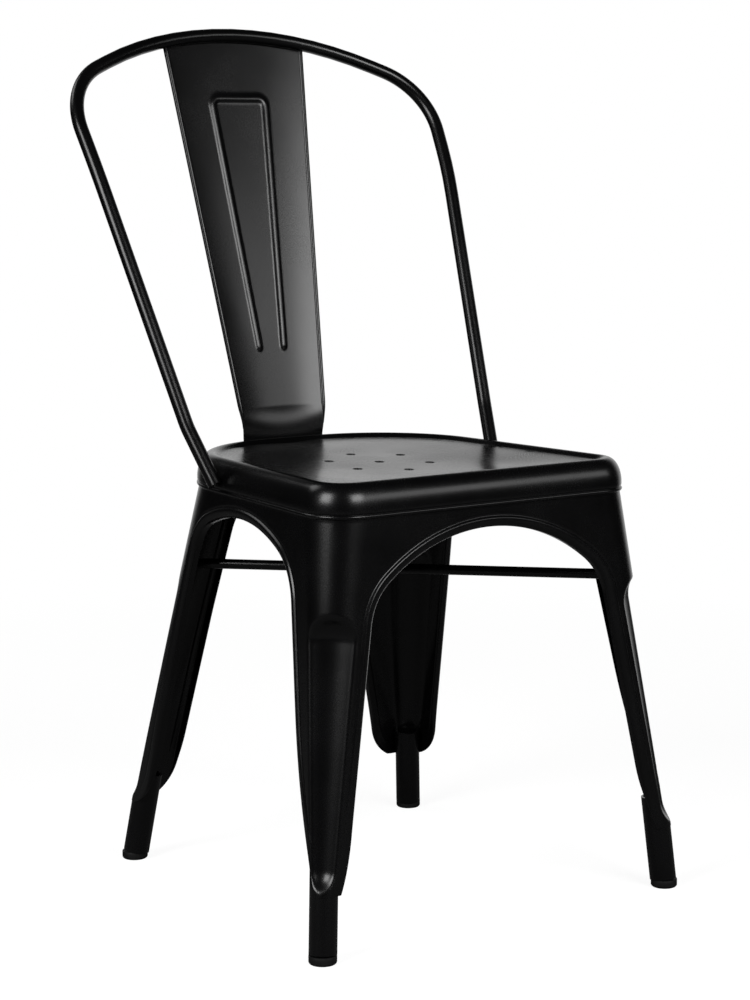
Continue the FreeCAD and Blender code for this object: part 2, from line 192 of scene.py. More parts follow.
# Rows of a leg's mesh: their number along the seam, and in each stretch of height down to the foot
LEVEL_Z = 250.0
SEAM_STEPS = 36
SEAM_EDGE_SHARE = 0.56
LEG_STRETCHES = (
    (FLARE_TOP_Z, 330.0, 9),
    (330.0, LEVEL_Z, 30),
    (LEVEL_Z, 100.0, 24),
    (100.0, LEG_FOOT_Z, 22),
)
ROW_STEPS = 26
ARCH_ARC_STEPS = 24
EDGE_ROLL_STEPS = 8
BEAD_PLACES = (8.2, 8.8, 9.4, 10.0, 10.6, 11.2, 12.0, 13.0, 14.2)
TANGENT_REACH = 0.5

# Foot tubes and rubber feet
FOOT_TUBE_R = 13.0
FOOT_TUBE_LENGTH = 92.0
FOOT_TUBE_ROWS = 44
FOOT_SIDES = 48
FOOT_TREAD = 8.0
FOOT_TUBE_GAP = 0.4
FOOT_EDGE_R = 2.5
FOOT_EDGE_STEPS = 6
FOOT_SIDE_Z = 5.0
FOOT_LIP = (0.2, 0.6)
FOOT_GROOVE = (2.0, 0.2)

# Back panel
SPLAT_TOP = (244.0, 841.0)
SPLAT_BEND = (151.0, 458.0)
SPLAT_TOP_HALF = 83.5
SPLAT_BEND_HALF = 51.0
SPLAT_FOOT_HALF = 47.0
SPLAT_TOP_ARC_R = 383.0
SPLAT_SEAT_Z = 428.0
SPLAT_FOOT_Z = 402.0
SPLAT_FOOT_GAP = 0.5
SPLAT_BOW = 6.4
SPLAT_CURL = 1.3
SPLAT_CURL_HEIGHT = 7.0
SPLAT_ROWS = 210
SPLAT_COLUMNS = 108
ROLL_R = 2.5
ROLL_END_Z = 437.0
ROLL_TAPER = 25.0
ROLL_TIP_SHARE = 0.3
ROLL_SIDES = 16
ROLL_ROW_STEP = 2
RIDGE_PROUD = 1.8
RIDGE_HALF_WIDTH = 4.8
RIDGE_ROUNDNESS = 1.3
RIDGE_CORNER_R = 8.0
RIDGE_TOP_HALF = 33.0
RIDGE_TOP_Z = 776.0
RIDGE_LOW_HALF = 15.0
RIDGE_LOW_Z = 519.0

# Back hoop: half of the tube's line, from its end on the skirt to the crown
HOOP_R = 7.0
HOOP_FLAT_Z = 416.0
HOOP_LINE = ((168.5, 2.0, 404.0), (180.5, 33.5, 458.0), (213.5, 143.0, 700.0), (221.5, 193.5, 786.5))
HOOP_CROWN = (0.0, 267.2, 876.1)
HOOP_BEND_RADII = (90.0, 500.0, 78.0, 350.0, 78.0, 500.0, 90.0)
HOOP_RUN = 14.0
HOOP_SIDES = 32

# Angle in degrees between the points of a bend, and the fewest steps in one
BEND_STEP = 4.0
RIDGE_BEND_STEP = 10.0
BEND_STEPS_LEAST = 3


def lerp(a, b, share):
    return a + (b - a) * share


def smoothstep(low, high, value):
    t = min(1.0, max(0.0, (value - low) / (high - low)))
    return t * t * (3 - 2 * t)


def soft_min(a, b, width):
    """The smaller of two values, with a rounded change from one to the other."""
    h = min(1.0, max(0.0, 0.5 + 0.5 * (b - a) / width))
    return lerp(b, a, h) - width * h * (1 - h)


def steps(low, high, count):
    return [lerp(low, high, i / count) for i in range(count + 1)]


def turns(count):
    """Angles of a whole turn in equal steps."""
    return [2 * math.pi * i / count for i in range(count)]


def level_direction(degrees):
    a = math.radians(degrees)
    return Vector((math.cos(a), math.sin(a), 0))


def away_from(middle):
    """Function that gives a point's direction from an upright line."""
    return lambda point: Vector((point.x - middle.x, point.y - middle.y, 0))


def placed(name, data):
    """New object in the scene."""
    obj = bpy.data.objects.new(name, data)
    bpy.context.scene.collection.objects.link(obj)
    return obj


def split_edges(obj, degrees):
    """Sharp shading where faces meet at more than an angle."""
    split = obj.modifiers.new("split", "EDGE_SPLIT")
    split.split_angle = math.radians(degrees)
    split.use_edge_sharp = False


class Shape:
    """Vertices and faces of one mesh, gathered in millimetres."""

    def __init__(self):
        self.points = []
        self.faces = []

    def add(self, points, faces):
        start = len(self.points)
        self.points.extend(points)
        self.faces.extend(tuple(start + k for k in face) for face in faces)

    def grid(self, rows, closed=False):
        """Quads between rows of points. Closed joins each row's last point to its first."""
        start = len(self.points)
        width = len(rows[0])
        for row in rows:
            self.points.extend(row)
        for i in range(len(rows) - 1):
            for j in range(width if closed else width - 1):
                k = (j + 1) % width
                a = start + i * width
                self.faces.append((a + j, a + k, a + width + k, a + width + j))

    def tube(self, rings):
        """Closed grid with a face over each end."""
        self.grid(rings, closed=True)
        for ring in (rings[0], rings[-1]):
            self.add(ring, [range(len(ring))])

    def mirrored(self):
        other = Shape()
        other.points = [Vector((-p.x, p.y, p.z)) for p in self.points]
        other.faces = [tuple(reversed(f)) for f in self.faces]
        return other

    def build(self, name, node, material, outward=None, thickness=0.0, sharp=SHARP_ANGLE):
        """Mesh object that stands for a node. outward(point) says which way its faces look."""
        mesh = bpy.data.meshes.new(name)
        mesh.from_pydata([p * METRES for p in self.points], [], self.faces)
        work = bmesh.new()
        work.from_mesh(mesh)
        bmesh.ops.remove_doubles(work, verts=work.verts, dist=MERGE_DISTANCE)
        bmesh.ops.dissolve_degenerate(work, edges=work.edges, dist=SLIVER_LENGTH)
        bmesh.ops.recalc_face_normals(work, faces=work.faces)
        if outward:
            facing = 0.0
            for face in work.faces:
                middle = face.calc_center_median() / METRES
                facing += face.normal.dot(outward(middle)) * face.calc_area()
            if facing < 0:
                bmesh.ops.reverse_faces(work, faces=work.faces)
        for face in work.faces:
            face.smooth = True
        work.to_mesh(mesh)
        work.free()
        piece = placed(name, mesh)
        mesh.materials.append(material)
        if thickness:
            solid = piece.modifiers.new("sheet", "SOLIDIFY")
            solid.thickness = thickness * METRES
            solid.offset = -1
        split_edges(piece, sharp)
        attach(piece, "root")
        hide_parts(node)


def side_normal_angle(front, front_r, rear, rear_r):
    """Angle of the outward normal of the side line that touches both corner arcs."""
    dx = front[0] - rear[0]
    dy = front[1] - rear[1]
    return math.degrees(math.atan2(dy, dx) + math.acos((rear_r - front_r) / math.hypot(dx, dy)))


class Ring:
    """Left half of a four-cornered outline: corner centres, radii and the side's normal."""

    def __init__(self, front, front_r, rear, rear_r):
        self.centres = (Vector((*front, 0)), Vector((*rear, 0)))
        self.radii = (front_r, rear_r)
        self.side = side_normal_angle(front, front_r, rear, rear_r)


def seat_ring(inset):
    front = (SEAT_HALF_WIDTH - SEAT_CORNER_R, SEAT_FRONT_Y + SEAT_CORNER_R)
    return Ring(front, SEAT_CORNER_R - inset, SEAT_REAR_CENTRE, SEAT_REAR_R - inset)


LEG_LOW = Ring(FRONT_TUBE_TOP, LEG_CORNER_R, BACK_TUBE_TOP, LEG_CORNER_R)
LEG_HIGH = seat_ring(SHEET)


def flare(z):
    """0 where the foot tube starts and 1 at the seat, where the flare ends."""
    return min(1.0, (z - FOOT_TOP_Z) / (FLARE_TOP_Z - FOOT_TOP_Z))


class Wall:
    """One face of a left-hand leg. w runs along it from the arch's middle line to the corner."""

    def __init__(self, back, across):
        self.which = 1 if back else 0
        self.across = across
        self.turn = 1 if back else -1
        self.corner_angles = BACK_CORNER_ANGLES if back else FRONT_CORNER_ANGLES

    def section(self, z):
        """Corner centre, radius, and the angles where its arc starts and meets the other face."""
        share = flare(z)
        centre = lerp(LEG_LOW.centres[self.which], LEG_HIGH.centres[self.which], share)
        radius = lerp(LEG_LOW.radii[self.which], LEG_HIGH.radii[self.which], share)
        side = lerp(LEG_LOW.side, LEG_HIGH.side, share)
        start = 90.0 * self.turn if self.across else side
        return centre, radius, start, lerp(*self.corner_angles, share)

    def flat(self, z):
        """The flat's start on the middle line, its direction, its length and its outward normal."""
        centre, radius, start, _ = self.section(z)
        normal = level_direction(start)
        end = centre + normal * radius
        along = Vector((1, 0, 0)) if self.across else Vector((-normal.y, normal.x, 0)) * self.turn
        length = end.x if self.across else abs((end.y - LEG_MEET_Y) / along.y)
        return end - along * length, along, length, normal

    def width(self, z):
        _, radius, start, corner = self.section(z)
        return self.flat(z)[2] + radius * math.radians(abs(corner - start))

    def at(self, w, z):
        """Point of the outer face and its outward normal."""
        begin, along, length, normal = self.flat(z)
        if w <= length:
            point = begin + along * w
        else:
            centre, radius, start, corner = self.section(z)
            sign = 1 if corner > start else -1
            normal = level_direction(start + sign * math.degrees((w - length) / radius))
            point = centre + normal * radius
        return Vector((point.x, point.y, z)), normal

    def from_plane(self, u, z):
        """w of the point that stands u away from the middle line, measured in the arch's plane."""
        _, along, length, _ = self.flat(z)
        centre, radius, start, _ = self.section(z)
        flat_u = length * (along.x if self.across else abs(along.y))
        if u <= flat_u:
            return length * u / flat_u
        if self.across:
            angle = math.degrees(math.acos(min(1.0, (u - centre.x) / radius))) * self.turn
        else:
            reach = (LEG_MEET_Y + self.turn * u - centre.y) / radius
            angle = math.degrees(math.asin(max(-1.0, min(1.0, reach))))
        return length + radius * math.radians(abs(angle - start))


class HalfArch:
    """Half an arch in its own plane: flat crown, shoulder arc, straight leg edge and toe arc."""

    def __init__(self, half_width, slope, crown_r, shoulder_r, toe_z, toe_r):
        n = math.hypot(1, slope)
        down = Vector((slope / n, -1 / n))
        inward = Vector((-1 / n, -slope / n))
        self.centres = [Vector((0, ARCH_TOP_Z - crown_r))]
        self.radii = (crown_r, shoulder_r, toe_r)
        base = Vector((half_width, ARCH_REF_Z)) + inward * shoulder_r
        rel = base - self.centres[0]
        b = rel.dot(down)
        climb = b + math.sqrt(b * b - rel.length_squared + (crown_r - shoulder_r) ** 2)
        self.centres.append(base - down * climb)
        toe = Vector((half_width - slope * (toe_z - ARCH_REF_Z), toe_z))
        self.centres.append(toe - inward * toe_r)
        self.outward = math.atan2(-inward.y, -inward.x)

    def edge(self):
        """Points of the edge from the crown's middle down to the foot."""
        crown, shoulder, toe = self.centres
        turn = math.atan2(shoulder.y - crown.y, shoulder.x - crown.x)
        toe_end = math.pi + math.asin((toe.y - LEG_FOOT_Z) / self.radii[2])
        stretches = (
            (crown, self.radii[0], math.pi / 2, turn),
            (shoulder, self.radii[1], turn, self.outward),
            (toe, self.radii[2], self.outward + math.pi, toe_end),
        )
        points = []
        for centre, radius, start, end in stretches:
            for a in steps(start, end, ARCH_ARC_STEPS):
                points.append(centre + Vector((math.cos(a), math.sin(a))) * radius)
        return points


FRONT_ARCH = HalfArch(
    half_width=180.0, slope=0.18, crown_r=188.0, shoulder_r=60.0, toe_z=115.0, toe_r=230.0)
SIDE_FRONT_ARCH = HalfArch(
    half_width=169.5, slope=0.22, crown_r=188.0, shoulder_r=60.0, toe_z=215.0, toe_r=570.0)
SIDE_BACK_ARCH = HalfArch(
    half_width=158.0, slope=0.235, crown_r=180.0, shoulder_r=55.0, toe_z=96.0, toe_r=46.0)
REAR_ARCH = HalfArch(
    half_width=130.0, slope=0.228, crown_r=165.0, shoulder_r=50.0, toe_z=92.0, toe_r=45.0)


class Path:
    """Points joined by straight runs, read by distance along them."""

    def __init__(self, points):
        self.points = points
        self.marks = [0.0]
        for a, b in zip(points, points[1:]):
            self.marks.append(self.marks[-1] + (b - a).length)
        self.length = self.marks[-1]

    def at(self, distance):
        distance = min(self.length, max(0.0, distance))
        i = 0
        while i < len(self.marks) - 2 and self.marks[i + 1] < distance:
            i += 1
        run = self.marks[i + 1] - self.marks[i]
        share = (distance - self.marks[i]) / run if run else 0.0
        return lerp(self.points[i], self.points[i + 1], share)

    def tangent(self, distance):
        return (self.at(distance + TANGENT_REACH) - self.at(distance - TANGENT_REACH)).normalized()

    def reach(self, z):
        """Distance at which the path last comes down to a height."""
        for i in range(len(self.points) - 1, 0, -1):
            high, low = self.points[i - 1].y, self.points[i].y
            if high >= z >= low:
                share = (high - z) / (high - low) if high > low else 0.0
                return lerp(self.marks[i - 1], self.marks[i], share)
        return self.length


class Flute:
    """Tapered round-ended trough pressed into the corner of a left-hand leg."""

    def __init__(self, back):
        self.wall = Wall(back, across=True)
        depths = BACK_FLUTE_DEPTHS if back else FRONT_FLUTE_DEPTHS
        self.ends = []
        for z, radius, depth in zip(FLUTE_ENDS_Z, FLUTE_RADII, depths):
            point, outward = self.corner(z)
            self.ends.append(point + outward * (radius - depth))

    def corner(self, z):
        """Point on the leg's corner at a height, and the level direction outward."""
        centre, radius, _, angle = self.wall.section(z)
        outward = level_direction(angle)
        point = centre + outward * radius
        return Vector((point.x, point.y, z)), outward

    def press(self, point, extra=0.0):
        """The point moved inward onto the trough where it would stand out of it."""
        high, low = self.ends
        share = (high.z - point.z) / (high.z - low.z)
        nearest = min(1.0, max(0.0, share))
        centre = lerp(high, low, share)
        radius = lerp(*FLUTE_RADII, share) + extra
        past = abs(share - nearest) * (high.z - low.z)
        cap = FLUTE_CAP_LENGTHS[0] if share < 0 else FLUTE_CAP_LENGTHS[1]
        left = radius * radius * (1 - (past / cap) ** 2)
        if left <= 0:
            return point
        _, outward = self.corner(point.z)
        lateral = Vector((-outward.y, outward.x, 0))
        rel = Vector((point.x - centre.x, point.y - centre.y, 0))
        out, across = rel.dot(outward), rel.dot(lateral)
        if across * across >= left:
            return point
        floor = -math.sqrt(left - across * across)
        return point + outward * (soft_min(out, floor, FLUTE_SOFTNESS) - out)


def bead_height(d):
    """Rounded bead beside the edge, with a fine crease at its foot."""
    crease_start, crease_middle, crease_end = BEAD_CREASE_SPAN
    rise = 1 - smoothstep(*BEAD_FALL, d)
    crease = smoothstep(crease_start, crease_middle, d) * (1 - smoothstep(crease_middle, crease_end, d))
    return BEAD_PROUD * rise - BEAD_CREASE * crease


def edge_profile():
    """Distance in from the arch's edge and height over the sheet, from the flange outward."""
    profile = [(0.0, -depth) for depth in FLANGE_DEPTHS]
    for a in steps(0, math.pi / 2, EDGE_ROLL_STEPS):
        profile.append((EDGE_ROLL_IN * (1 - math.cos(a)), BEAD_PROUD - EDGE_ROLL_DROP * (1 - math.sin(a))))
    for d in BEAD_PLACES:
        profile.append((d, bead_height(d)))
    return profile


def row_ends(wall, path):
    """Where each row leaves the arch's edge, and the spot on the seam or the corner where it ends."""
    level = path.reach(LEVEL_Z)
    turned = SEAM_EDGE_SHARE * level
    corner_w = wall.width(FLARE_TOP_Z)
    ends = []
    for share in steps(0, 1, SEAM_STEPS)[:-1]:
        ends.append((turned * share, Vector((corner_w * share, FLARE_TOP_Z))))
    heights = []
    for high, low, count in LEG_STRETCHES:
        heights += steps(high, low, count)[:-1]
    heights.append(LEG_FOOT_Z)
    for z in heights:
        if z > LEVEL_Z:
            along = lerp(turned, level, (FLARE_TOP_Z - z) / (FLARE_TOP_Z - LEVEL_Z))
        else:
            along = path.reach(z)
        ends.append((along, Vector((wall.width(z), z))))
    return ends


def row_places(near, span, tangent, profile):
    """Shares of a row and heights over the sheet: the edge's profile, then plain sheet to the row's end."""
    heading = span.normalized()
    slant = max(SLANT_LEAST, abs(heading.x * tangent.y - heading.y * tangent.x))
    squeeze = min(1.0, span.length * PROFILE_SHARE_MOST / (profile[-1][0] / slant))
    proud = smoothstep(*BEAD_FADE_Z, near.y)
    deep = lerp(FLANGE_TOE_SHARE, 1.0, smoothstep(*FLANGE_FADE_Z, near.y))
    places = []
    for d, height in profile:
        share = d * squeeze / slant / span.length
        places.append((share, height * (deep if height < 0 else proud)))
    for share in steps(places[-1][0], 1, ROW_STEPS)[1:]:
        places.append((share, 0.0))
    return places


def wall_rows(back, across, arch, flute):
    """Rows of points across one face of a leg, each from the arch's flange to the corner."""
    wall = Wall(back, across)
    path = Path([Vector((wall.from_plane(p.x, p.y), p.y)) for p in arch.edge()])
    profile = edge_profile()
    rows = []
    for along, far in row_ends(wall, path):
        near = path.at(along)
        span = far - near
        row = []
        for share, height in row_places(near, span, path.tangent(along), profile):
            spot = near + span * share
            point, normal = wall.at(spot.x, spot.y)
            point = point + normal * height
            if height > BEAD_PROUD - EDGE_ROLL_DROP:
                point = flute.press(point)
            row.append(point)
        rows.append(row)
    return rows


def leg_shape(back):
    """Left-hand leg: two faces that meet at the fluted corner, and the band behind the skirt."""
    flute = Flute(back)
    shape = Shape()
    arches = (REAR_ARCH, SIDE_BACK_ARCH) if back else (FRONT_ARCH, SIDE_FRONT_ARCH)
    for across, arch in zip((True, False), arches):
        rows = wall_rows(back, across, arch, flute)
        shape.grid(rows)
        seam = [row[-1] for row in rows[:SEAM_STEPS + 1]]
        shape.grid([[Vector((p.x, p.y, BAND_TOP_Z)) for p in seam], seam])
    return shape


def tube_ends(back):
    """Middle of a left-hand leg's foot on the floor, and of its tube's top."""
    return (BACK_FOOT, BACK_TUBE_TOP) if back else (FRONT_FOOT, FRONT_TUBE_TOP)


def foot_tube(back):
    """Foot tube of a left-hand leg, pressed in where the flute runs into it."""
    foot, top = tube_ends(back)
    at = Vector((*foot, 0))
    axis = (Vector((*top, FOOT_TOP_Z)) - at).normalized()
    side = axis.cross(Vector((0, 1, 0))).normalized()
    ahead = axis.cross(side)
    flute = Flute(back)
    rings = []
    for distance in steps(FOOT_TREAD + FOOT_TUBE_GAP, FOOT_TUBE_LENGTH, FOOT_TUBE_ROWS):
        ring = []
        for a in turns(FOOT_SIDES):
            point = at + axis * distance + (side * math.cos(a) + ahead * math.sin(a)) * FOOT_TUBE_R
            ring.append(flute.press(point, SHEET))
        rings.append(ring)
    shape = Shape()
    shape.grid(rings, closed=True)
    return shape


def foot_outline():
    """Radius and height of the rubber foot: rounded under, straight, and a groove under the tube."""
    lip_in, lip_drop = FOOT_LIP
    groove_in, groove_rise = FOOT_GROOVE
    outline = [(0.0, 0.0), (FOOT_TUBE_R - FOOT_EDGE_R, 0.0)]
    for i in range(1, FOOT_EDGE_STEPS + 1):
        a = math.radians(90 / FOOT_EDGE_STEPS * i)
        outline.append((FOOT_TUBE_R - FOOT_EDGE_R * (1 - math.sin(a)), FOOT_EDGE_R * (1 - math.cos(a))))
    outline += [(FOOT_TUBE_R, FOOT_SIDE_Z), (FOOT_TUBE_R, FOOT_TREAD - lip_drop)]
    outline += [(FOOT_TUBE_R - lip_in, FOOT_TREAD), (FOOT_TUBE_R - groove_in, FOOT_TREAD + groove_rise)]
    outline.append((0.0, FOOT_TREAD + groove_rise))
    return outline


def foot_shape(back):
    """Rubber foot: a tread as wide as the tube."""
    x, y = tube_ends(back)[0]
    rings = []
    for radius, z in foot_outline():
        ring = []
        for a in turns(FOOT_SIDES):
            ring.append(Vector((x + radius * math.cos(a), y + radius * math.sin(a), z)))
        rings.append(ring)
    shape = Shape()
    shape.grid(rings, closed=True)
    return shape


def rounded_points(points, radii, bend_step=BEND_STEP):
    """Straight runs joined by tangent arcs, as points. bend_step is the arc's angle per point."""
    path = [points[0]]
    for i in range(1, len(points) - 1):
        corner = points[i]
        back = (points[i - 1] - corner).normalized()
        onward = (points[i + 1] - corner).normalized()
        half = back.angle(onward) / 2
        radius = radii[i - 1]
        middle = (back + onward).normalized()
        centre = corner + middle * (radius / math.sin(half))
        start = corner + back * (radius / math.tan(half)) - centre
        end = corner + onward * (radius / math.tan(half)) - centre
        turn = start.angle(end)
        count = max(BEND_STEPS_LEAST, round(math.degrees(turn) / bend_step))
        for k in range(count + 1):
            t = k / count
            arm = (start * math.sin((1 - t) * turn) + end * math.sin(t * turn)) / math.sin(turn)
            path.append(centre + arm)
    path.append(points[-1])
    return path


def split_runs(path, longest):
    """The same path with no run longer than a length."""
    points = [path[0]]
    for a, b in zip(path, path[1:]):
        count = max(1, math.ceil((b - a).length / longest))
        points += [lerp(a, b, k / count) for k in range(1, count + 1)]
    return points


def tube_rings(path, radius, sides):
    """Rings square to a path, carried along it without twist."""
    rings = []
    side = None
    for i, point in enumerate(path):
        ahead = (path[min(i + 1, len(path) - 1)] - path[max(i - 1, 0)]).normalized()
        if side is None:
            side = ahead.orthogonal()
        side = (side - ahead * side.dot(ahead)).normalized()
        up = ahead.cross(side)
        rings.append([point + (side * math.cos(a) + up * math.sin(a)) * radius for a in turns(sides)])
    return rings


def hoop_shape():
    """The bent tube, its two ends flattened against the outside of the seat's skirt."""
    left = [Vector(p) for p in HOOP_LINE]
    corners = [Vector((-p.x, p.y, p.z)) for p in left] + [Vector(HOOP_CROWN)] + list(reversed(left))
    path = split_runs(rounded_points(corners, HOOP_BEND_RADII), HOOP_RUN)
    skirt = seat_ring(0)
    normal = level_direction(skirt.side)
    reach = (skirt.centres[1] + normal * SEAT_REAR_R).dot(normal)
    rings = tube_rings(path, HOOP_R, HOOP_SIDES)
    for ring in rings:
        for point in ring:
            mirror = -1 if point.x < 0 else 1
            stand = Vector((point.x * mirror, point.y, 0)).dot(normal)
            if stand < reach and point.z < HOOP_FLAT_Z:
                point.x += mirror * (reach - stand) * normal.x
                point.y += (reach - stand) * normal.y
    shape = Shape()
    shape.tube(rings)
    return shape


def splat_half(z):
    """Half the back panel's width at a height. Below the seat's rim it narrows to its foot."""
    if z < SPLAT_SEAT_Z:
        share = (z - SPLAT_FOOT_Z) / (SPLAT_SEAT_Z - SPLAT_FOOT_Z)
        return lerp(SPLAT_FOOT_HALF, splat_half(SPLAT_SEAT_Z), share)
    share = (z - SPLAT_BEND[1]) / (SPLAT_TOP[1] - SPLAT_BEND[1])
    return lerp(SPLAT_BEND_HALF, SPLAT_TOP_HALF, share)


def splat_place(u, z):
    """Front face of the back panel at a distance from the middle line."""
    skirt_y = SEAT_REAR_CENTRE[1] + SEAT_REAR_R + SHEET + SPLAT_FOOT_GAP
    past_flat = SPLAT_FOOT_HALF - SEAT_REAR_CENTRE[0]
    foot_bow = SEAT_REAR_R - math.sqrt(SEAT_REAR_R ** 2 - past_flat ** 2)
    if z >= SPLAT_BEND[1]:
        share = (z - SPLAT_BEND[1]) / (SPLAT_TOP[1] - SPLAT_BEND[1])
        rear, bow = lerp(SPLAT_BEND[0], SPLAT_TOP[0], share), SPLAT_BOW
    else:
        share = max(0.0, (z - SPLAT_SEAT_Z) / (SPLAT_BEND[1] - SPLAT_SEAT_Z))
        rear, bow = lerp(skirt_y, SPLAT_BEND[0], share ** 2), lerp(foot_bow, SPLAT_BOW, share)
    return Vector((u, rear - SHEET - bow * (u / splat_half(z)) ** 2, z))


def ridge_line():
    """Middle line of the raised U, turned upside down, in the panel's own plane."""
    corners = [
        Vector((-RIDGE_LOW_HALF, RIDGE_LOW_Z, 0)),
        Vector((-RIDGE_TOP_HALF, RIDGE_TOP_Z, 0)),
        Vector((RIDGE_TOP_HALF, RIDGE_TOP_Z, 0)),
        Vector((RIDGE_LOW_HALF, RIDGE_LOW_Z, 0)),
    ]
    return rounded_points(corners, (RIDGE_CORNER_R, RIDGE_CORNER_R), RIDGE_BEND_STEP)


def distance_to(path, point):
    """Distance of a point from a line of straight runs."""
    distances = []
    for a, b in zip(path, path[1:]):
        run = b - a
        share = min(1.0, max(0.0, (point - a).dot(run) / run.length_squared))
        distances.append((a + run * share - point).length)
    return min(distances)


def splat_rows():
    """Back panel: a bowed, tapered sheet with the U pressed forward and a curved top edge."""
    ridge = ridge_line()
    curl_start = 1 - SPLAT_CURL_HEIGHT / (SPLAT_TOP[1] - SPLAT_FOOT_Z)
    rows = []
    for v in steps(0, 1, SPLAT_ROWS):
        row = []
        for share in steps(-1, 1, SPLAT_COLUMNS):
            level_z = lerp(SPLAT_FOOT_Z, SPLAT_TOP[1], v)
            u = share * splat_half(level_z)
            drop = SPLAT_TOP_ARC_R - math.sqrt(SPLAT_TOP_ARC_R ** 2 - u * u)
            z = level_z - drop * v
            point = splat_place(u, z)
            point.y += SPLAT_CURL * smoothstep(curl_start, 1.0, v)
            d = distance_to(ridge, Vector((u, z, 0)))
            if d < RIDGE_HALF_WIDTH:
                point.y -= RIDGE_PROUD * (1 - (d / RIDGE_HALF_WIDTH) ** 2) ** RIDGE_ROUNDNESS
            row.append(point)
        rows.append(row)
    return rows


def splat_rolls(rows):
    """Round beads down both edges of the panel, ending just above the seat."""
    shape = Shape()
    for column in (0, -1):
        edge = [row[column] for row in rows if row[column].z >= ROLL_END_Z]
        path = [point + Vector((0, SHEET / 2, 0)) for point in edge[::ROLL_ROW_STEP]]
        rings = tube_rings(path, ROLL_R, ROLL_SIDES)
        for ring, middle in zip(rings, path):
            size = lerp(ROLL_TIP_SHARE, 1.0, smoothstep(ROLL_END_Z, ROLL_END_Z + ROLL_TAPER, middle.z))
            for point in ring:
                point.xyz = lerp(middle, point, size)
        shape.tube(rings)
    return shape


def seat_outline_points(inset, z):
    """Closed outline of the seat at an inset, with its corner arcs and straight sides."""
    ring = seat_ring(inset)
    arcs = (
        (ring.centres[0], ring.radii[0], -90, ring.side, SEAT_CORNER_STEPS),
        (ring.centres[1], ring.radii[1], ring.side, 90, SEAT_REAR_STEPS),
    )
    half = []
    for centre, radius, start, end, count in arcs:
        for a in steps(start, end, count):
            half.append(centre + level_direction(a) * radius)
    half = split_runs(half, SEAT_RUN)
    front = [Vector((x, half[0].y, 0)) for x in steps(0, half[0].x, SEAT_FRONT_STEPS)[:-1]]
    rear = [Vector((x, half[-1].y, 0)) for x in steps(half[-1].x, 0, SEAT_BACK_STEPS)[1:]]
    left = front + half + rear
    outline = left + [Vector((-p.x, p.y, 0)) for p in reversed(left[1:-1])]
    return [Vector((p.x, p.y, z)) for p in outline]


def seat_profile():
    """Inset and height from the skirt's hem up, over the rolled rim and down to the dish's edge."""
    profile = [(inset, SEAM_Z + rise) for inset, rise in HEM_PROFILE]
    for degrees in steps(0, 90, RIM_ROLL_STEPS):
        a = math.radians(degrees)
        profile.append((RIM_ROLL_R * (1 - math.cos(a)), RIM_Z - RIM_ROLL_DROP * (1 - math.sin(a))))
    for share in steps(0, 1, DISH_STEP_STEPS)[1:]:
        fall = smoothstep(0, DISH_STEP_EASE, share) / smoothstep(0, DISH_STEP_EASE, 1)
        profile.append((lerp(RIM_ROLL_R, DISH_INSET, share), lerp(RIM_Z, DISH_EDGE_Z, fall)))
    return profile


def bowl_depth(share):
    """Depth of the bowl, which already falls at its edge, by the share of its width from there."""
    return smoothstep(BOWL_EASE, 1, share) - smoothstep(BOWL_EASE, 1, 0)


def dish_z(point, edge):
    """Height of the dish: a bowl from its edge to the middle, which falls gently to the front."""
    near = min((point.x - p.x) ** 2 + (point.y - p.y) ** 2 for p in edge)
    depth = bowl_depth(math.sqrt(near) / BOWL_WIDTH) / bowl_depth(1)
    return lerp(DISH_EDGE_Z, DISH_Z + DISH_SLOPE * (point.y - HOLE_CENTRE_Y), depth)


def inside(spot, loop):
    """Whether a spot lies inside a closed outline, seen from above."""
    odd = False
    for a, b in zip(loop, loop[1:] + loop[:1]):
        if (a.y > spot.y) != (b.y > spot.y) and spot.x < a.x + (b.x - a.x) * (spot.y - a.y) / (b.y - a.y):
            odd = not odd
    return odd


def dish_spots(edge, holes):
    """Even spots over the dish's floor that keep clear of its edge and of the holes."""
    middles = [sum(loop, Vector()) / len(loop) for loop in holes]
    hole_clear = (holes[0][0] - middles[0]).length + BOWL_GRID * HOLE_CLEARANCE
    columns = math.ceil(SEAT_HALF_WIDTH / BOWL_GRID)
    rows = math.ceil(-SEAT_FRONT_Y / (BOWL_GRID * TRIANGLE_RISE))
    spots = []
    for i in range(-columns, columns + 1):
        for j in range(-rows, rows + 1):
            spot = Vector((BOWL_GRID * (i + 0.5 * (j % 2)), BOWL_GRID * TRIANGLE_RISE * j))
            if not inside(spot, edge):
                continue
            edge_near = min((spot - p.xy).length for p in edge)
            hole_near = min((spot - m.xy).length for m in middles)
            if edge_near >= BOWL_GRID * EDGE_CLEARANCE and hole_near > hole_clear:
                spots.append(spot)
    return spots


def smoothed(heights, around, held):
    """Heights after repeated averaging with those around them. Held ones stay as they are."""
    for _ in range(BOWL_SMOOTHING):
        averages = []
        for height, near, hold in zip(heights, around, held):
            averages.append(height if hold else sum(heights[k] for k in near) / len(near))
        heights = averages
    return heights


